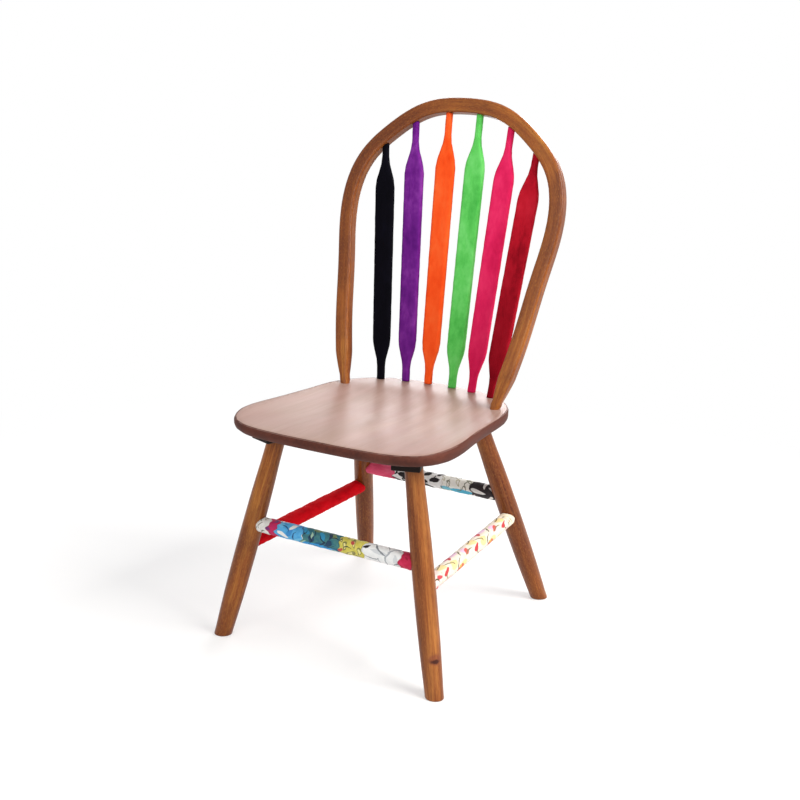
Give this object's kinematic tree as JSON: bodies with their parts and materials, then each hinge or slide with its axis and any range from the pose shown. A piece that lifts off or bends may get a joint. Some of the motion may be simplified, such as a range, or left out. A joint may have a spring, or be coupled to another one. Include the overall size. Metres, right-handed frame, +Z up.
{
  "type": "windsor chair",
  "caption": "Hoop-back wooden side chair: saddled seat, turned splayed legs, flat arrow-shaped slats in coloured cloth sleeves and cloth-wrapped stretchers.",
  "frame": {"origin": "on the floor, under the middle of the chair's bounding box", "axes": "+X to the right of someone facing the front of the chair, -Y out of its front, +Z up"},
  "size_m": [0.4834, 0.5728, 0.9989],
  "materials": {
    "stained_wood": "brown stain under semi-gloss lacquer",
    "seat_lacquered_wood": "brown stain under high-gloss lacquer",
    "block_wood": "dark stain, satin",
    "plain_wood": "plain wood under cloth",
    "zinc_steel": "zinc plated",
    "velvet_black": "short-pile velvet",
    "velvet_purple": "short-pile velvet",
    "velvet_orange": "short-pile velvet",
    "velvet_green": "short-pile velvet",
    "velvet_pink": "short-pile velvet",
    "velvet_crimson": "short-pile velvet",
    "cloth_front_white_print": "printed cloth",
    "cloth_front_magenta": "short-pile velvet",
    "cloth_front_sky_print": "printed cloth",
    "cloth_front_teal_print": "printed cloth",
    "cloth_front_yellow_floral": "printed cloth",
    "cloth_front_leaf_print": "printed cloth",
    "cloth_front_red_end": "printed cloth",
    "cloth_back_rose": "short-pile velvet",
    "cloth_back_black_white": "printed cloth",
    "cloth_back_cream_teal": "printed cloth",
    "cloth_back_dark_petal": "printed cloth",
    "cloth_left_red_velvet": "short-pile velvet",
    "cloth_right_pink_end": "printed cloth",
    "cloth_right_cream_floral": "printed cloth",
    "cloth_right_cream_end": "printed cloth"
  },
  "bodies": {
    "root": {"seat": "seat_lacquered_wood", "bow": "stained_wood", "leg_front_left": "stained_wood", "leg_front_right": "stained_wood", "leg_rear_left": "stained_wood", "leg_rear_right": "stained_wood", "block_front_left": "block_wood", "block_front_right": "block_wood", "block_rear_left": "block_wood", "block_rear_right": "block_wood", "screw_front_left_a": "zinc_steel", "screw_front_left_b": "zinc_steel", "screw_front_right_a": "zinc_steel", "screw_front_right_b": "zinc_steel", "screw_rear_left_a": "zinc_steel", "screw_rear_left_b": "zinc_steel", "screw_rear_right_a": "zinc_steel", "screw_rear_right_b": "zinc_steel", "slat_core_1": "plain_wood", "slat_sleeve_black": "velvet_black", "slat_core_2": "plain_wood", "slat_sleeve_purple": "velvet_purple", "slat_core_3": "plain_wood", "slat_sleeve_orange": "velvet_orange", "slat_core_4": "plain_wood", "slat_sleeve_green": "velvet_green", "slat_core_5": "plain_wood", "slat_sleeve_pink": "velvet_pink", "slat_core_6": "plain_wood", "slat_sleeve_crimson": "velvet_crimson", "stretcher_front": "plain_wood", "wrap_front_1_white_print": "cloth_front_white_print", "wrap_front_2_magenta": "cloth_front_magenta", "wrap_front_3_sky_print": "cloth_front_sky_print", "wrap_front_4_teal_print": "cloth_front_teal_print", "wrap_front_5_yellow_floral": "cloth_front_yellow_floral", "wrap_front_6_leaf_print": "cloth_front_leaf_print", "wrap_front_7_red_end": "cloth_front_red_end", "stretcher_back": "plain_wood", "wrap_back_1_rose": "cloth_back_rose", "wrap_back_2_black_white": "cloth_back_black_white", "wrap_back_3_cream_teal": "cloth_back_cream_teal", "wrap_back_4_dark_petal": "cloth_back_dark_petal", "stretcher_left": "plain_wood", "wrap_left_1_red_velvet": "cloth_left_red_velvet", "stretcher_right": "plain_wood", "wrap_right_1_pink_end": "cloth_right_pink_end", "wrap_right_2_cream_floral": "cloth_right_cream_floral", "wrap_right_3_cream_end": "cloth_right_cream_end"}
  },
  "joints": []
}
